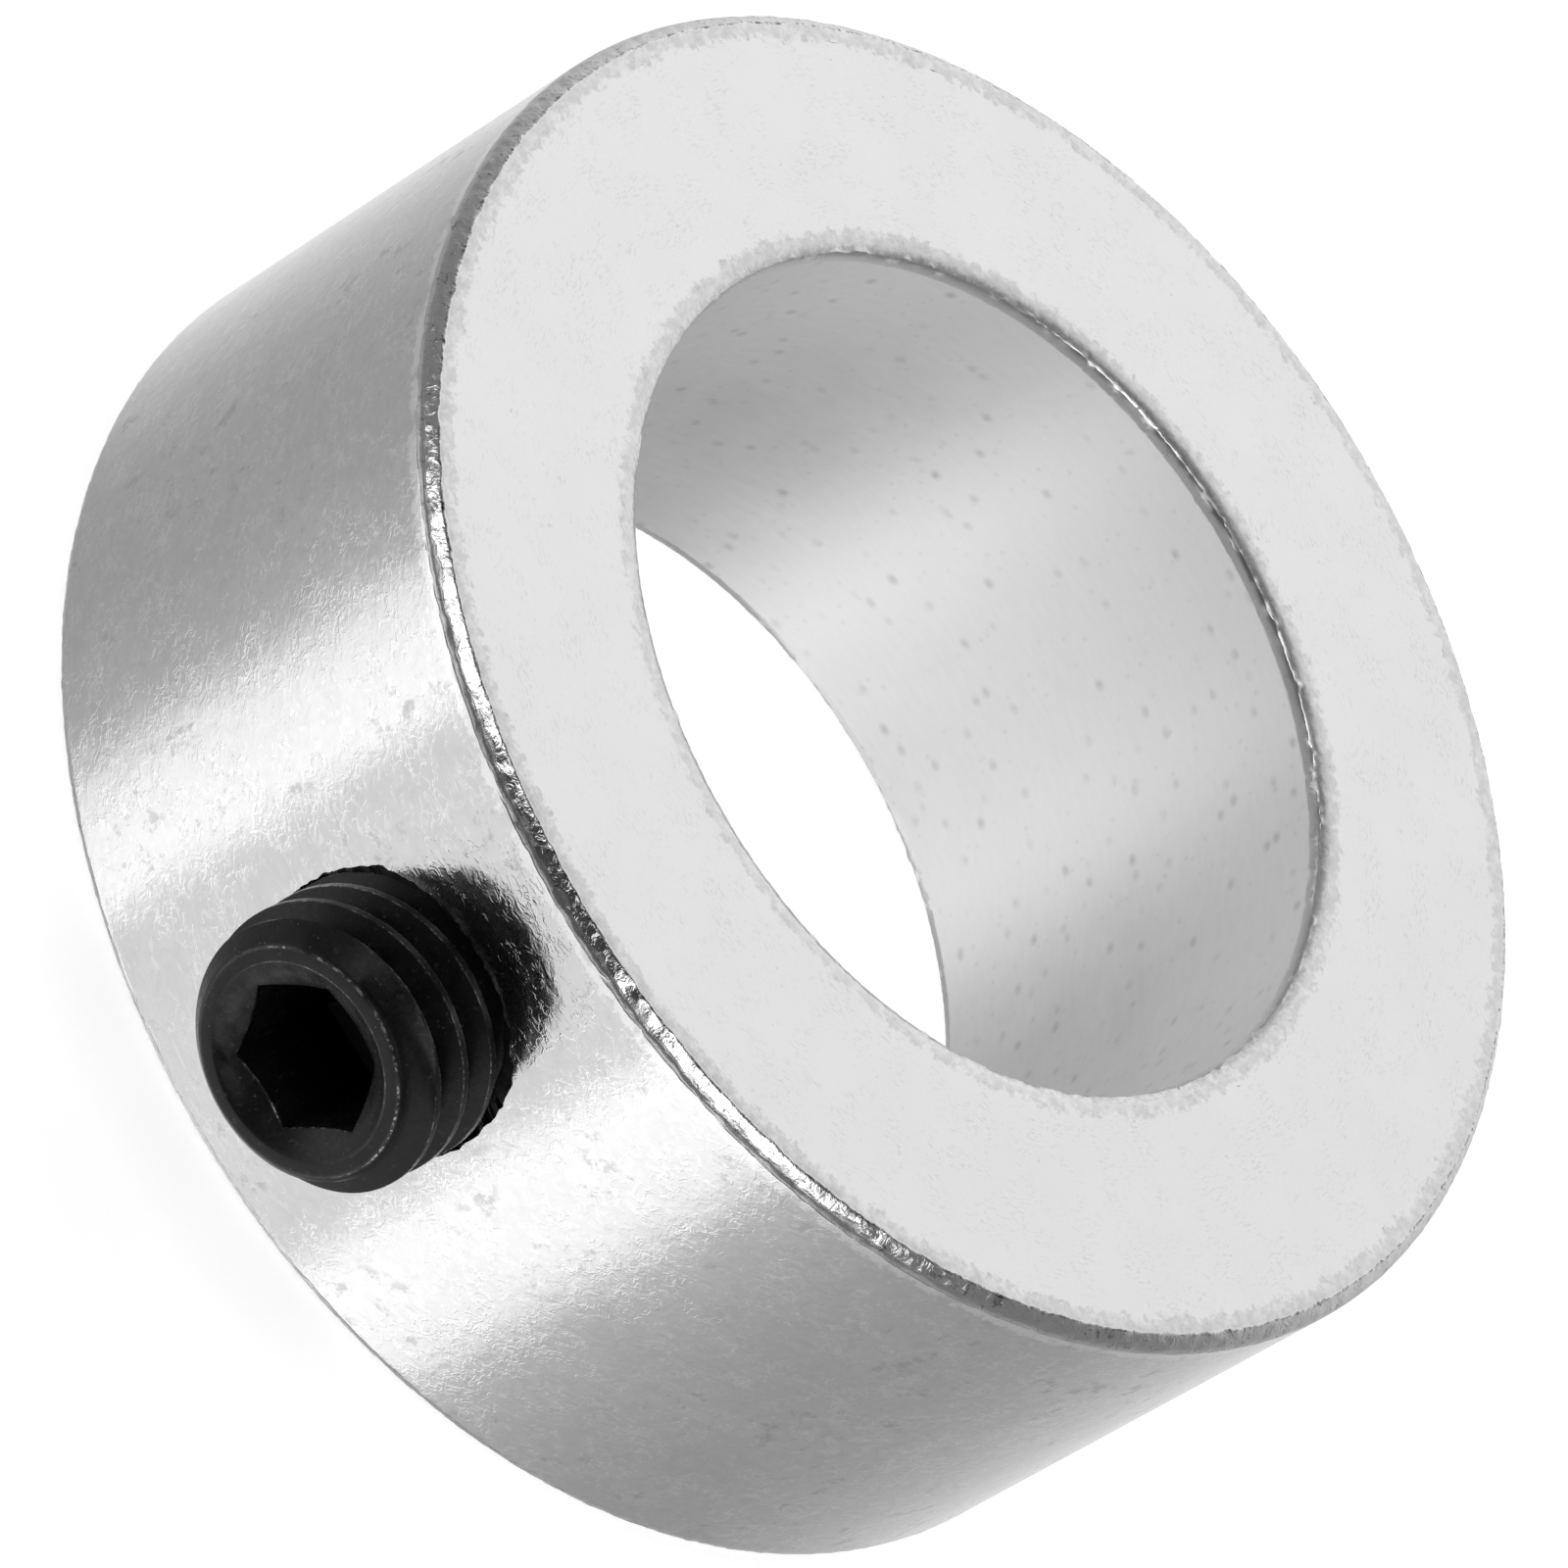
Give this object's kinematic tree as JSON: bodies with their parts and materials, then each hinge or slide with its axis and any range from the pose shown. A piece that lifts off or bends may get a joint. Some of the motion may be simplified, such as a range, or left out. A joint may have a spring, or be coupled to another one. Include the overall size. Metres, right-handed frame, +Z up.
{
  "type": "shaft collar",
  "caption": "Plain steel set collar for a 25 mm shaft, zinc plated, clamped by a radial M8 hexagon-socket set screw that turns in and out of its tapped hole.",
  "frame": {"origin": "on the bore's axis, at the middle of the ring's width", "axes": "+Z along the bore's axis, square to the ring's end faces; -Y out along the set screw; +X to the right when the set screw's socket is looked at with +Z up"},
  "size_m": [0.04, 0.0436, 0.016],
  "materials": {
    "zinc_plate": "bright zinc plate over turned steel",
    "black_oxide": "satin black oxide on alloy steel"
  },
  "bodies": {
    "collar": {"collar_ring": "zinc_plate"},
    "screw_point": {"set_screw_point": "black_oxide"},
    "screw": {"set_screw": "black_oxide"}
  },
  "joints": [
    {"name": "set_screw_travel", "type": "slide", "parent": "collar", "child": "screw_point", "axis": [0, -1, 0], "range_m": [-0.00125, 0.00375]},
    {"name": "set_screw_turn", "type": "hinge", "parent": "screw_point", "child": "screw", "pos_m": [0, -0.0186, 0], "axis": [0, -1, 0], "range_deg": [-360, 1080]}
  ],
  "couplings": [
    {"joint": "set_screw_turn", "follows": "set_screw_travel", "rad_per_m": 5026.5}
  ]
}
